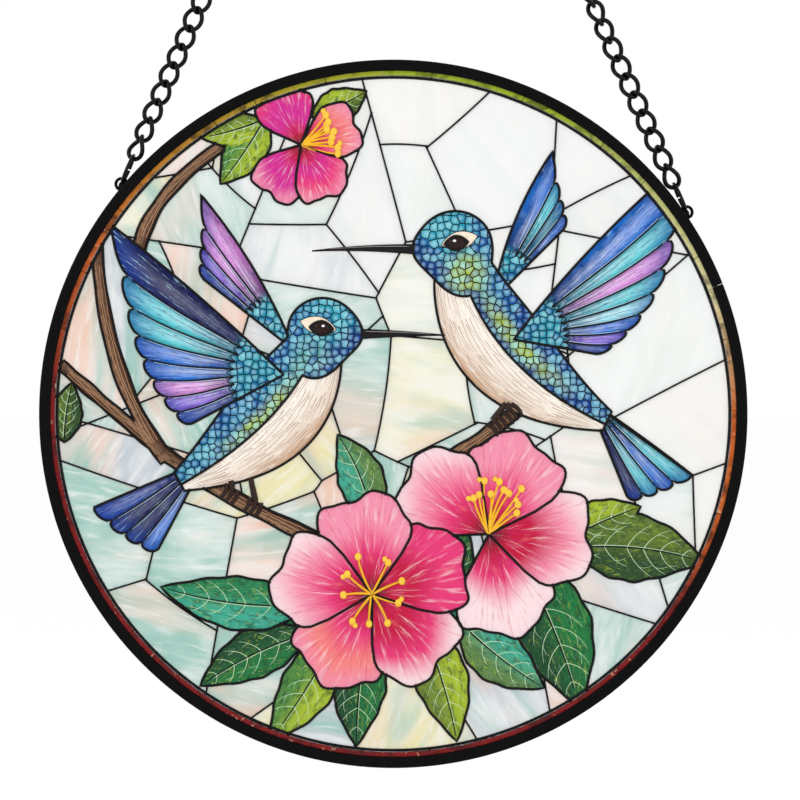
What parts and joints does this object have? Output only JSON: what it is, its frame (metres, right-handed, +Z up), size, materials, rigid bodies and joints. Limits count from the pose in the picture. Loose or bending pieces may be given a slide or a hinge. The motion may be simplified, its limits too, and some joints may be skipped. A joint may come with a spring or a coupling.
{
  "type": "stained glass suncatcher",
  "caption": "Round leaded glass suncatcher with hummingbirds and hibiscus in a black metal rim, hung on chains that meet in a ring",
  "frame": {"origin": "the inner crown of the hanging ring, where a hook carries the piece", "axes": "+Z up, the picture faces -Y, +X to the viewer's right"},
  "size_m": [0.2, 0.0094, 0.3522],
  "materials": {
    "rim": "satin black paint",
    "chain": "gloss black coating",
    "lead": "black patina on solder, lightly polished",
    "opal_glass": "coloured opalescent art glass",
    "border_glass": "coloured opalescent art glass",
    "teal_glass": "coloured opalescent art glass",
    "cream_glass": "coloured opalescent art glass",
    "blue_glass": "coloured opalescent art glass",
    "navy_glass": "coloured opalescent art glass",
    "pink_glass": "coloured opalescent art glass",
    "rose_glass": "coloured opalescent art glass",
    "leaf_glass": "coloured opalescent art glass",
    "bark_glass": "coloured opalescent art glass"
  },
  "bodies": {
    "root": {"frame_ring": "rim", "border_glass": "border_glass", "lead_lines": "lead", "left_bird_head": "teal_glass", "left_bird_near_wing": "blue_glass", "left_bird_belly": "cream_glass", "left_bird_back": "teal_glass", "left_bird_far_wing": "navy_glass", "left_bird_tail": "navy_glass", "right_bird_head": "teal_glass", "right_bird_near_wing": "blue_glass", "right_bird_belly": "cream_glass", "right_bird_back": "teal_glass", "right_bird_far_wing": "navy_glass", "right_bird_tail": "navy_glass", "low_blossom_petal_1": "pink_glass", "low_blossom_petal_2": "pink_glass", "low_blossom_petal_3": "pink_glass", "low_blossom_petal_4": "pink_glass", "low_blossom_petal_5": "pink_glass", "mid_blossom_petal_1": "pink_glass", "mid_blossom_petal_2": "pink_glass", "mid_blossom_petal_3": "pink_glass", "mid_blossom_petal_4": "pink_glass", "top_blossom_petal_1": "rose_glass", "top_blossom_petal_2": "rose_glass", "top_blossom_petal_3": "rose_glass", "top_blossom_petal_4": "rose_glass", "leaf_pair_lime": "leaf_glass", "leaf_olive_top": "leaf_glass", "leaf_centre_tall": "leaf_glass", "leaf_teal_long": "leaf_glass", "leaf_teal_low": "leaf_glass", "leaf_green_low": "leaf_glass", "leaf_dark_low": "leaf_glass", "leaf_lime_low": "leaf_glass", "leaf_olive_mid": "leaf_glass", "leaf_green_big": "leaf_glass", "leaf_pair_right": "leaf_glass", "branch_left_1": "bark_glass", "branch_left_2": "bark_glass", "branch_top": "bark_glass", "branch_right": "bark_glass", "background_1": "opal_glass", "background_2": "opal_glass", "background_3": "opal_glass", "background_4": "opal_glass", "background_5": "opal_glass", "background_6": "opal_glass", "background_7": "opal_glass", "background_8": "opal_glass", "background_9": "opal_glass", "background_10": "opal_glass", "background_11": "opal_glass", "background_12": "opal_glass", "jump_ring_left": "chain", "chain_left": "chain", "jump_ring_right": "chain", "chain_right": "chain", "hanging_ring": "chain"}
  },
  "joints": []
}
